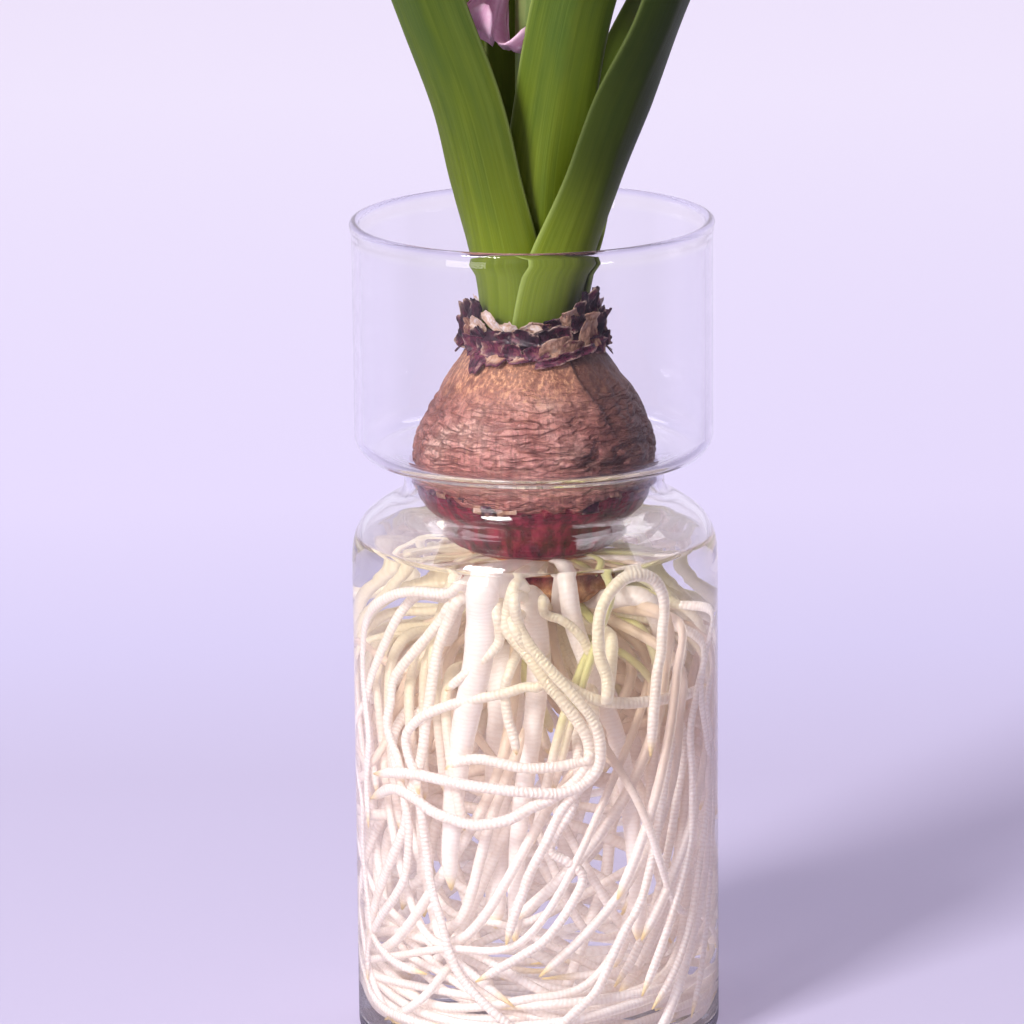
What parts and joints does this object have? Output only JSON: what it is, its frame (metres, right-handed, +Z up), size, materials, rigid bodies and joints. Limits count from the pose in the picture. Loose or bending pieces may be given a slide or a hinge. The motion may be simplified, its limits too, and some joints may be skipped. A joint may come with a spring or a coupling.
{
  "type": "hyacinth flower with bulb",
  "caption": "Pink hyacinth in bloom growing from its bare bulb, held in a clear two-tier forcing glass with its white roots in water.",
  "frame": {"origin": "middle of the glass's base, on the surface it stands on", "axes": "+Z up along the glass and the stalk; -Y is the side the picture shows"},
  "size_m": [0.0945, 0.0814, 0.3342],
  "materials": {
    "clear_glass": "clear, thin, fire-polished",
    "clear_water": "clear water",
    "bulb_tunic": "dry, papery, finely wrinkled; glossy purple-red towards the base",
    "dry_scales": "dry, ragged, matt",
    "leaf_green": "satin, with fine parallel veins",
    "stalk_green": "satin",
    "petal_pink": "soft, waxy, with a deeper middle line",
    "root_white": "smooth, moist, finely ringed"
  },
  "bodies": {
    "root": {"vase": "clear_glass", "water": "clear_water", "bulb": "bulb_tunic", "neck_scales": "dry_scales", "leaf_left": "leaf_green", "leaf_right": "leaf_green", "leaf_back_right": "leaf_green", "leaf_back_left": "leaf_green", "leaf_front": "leaf_green", "leaf_back": "leaf_green", "flower_stalk": "stalk_green", "flower_head": "petal_pink", "roots": "root_white"}
  },
  "joints": []
}
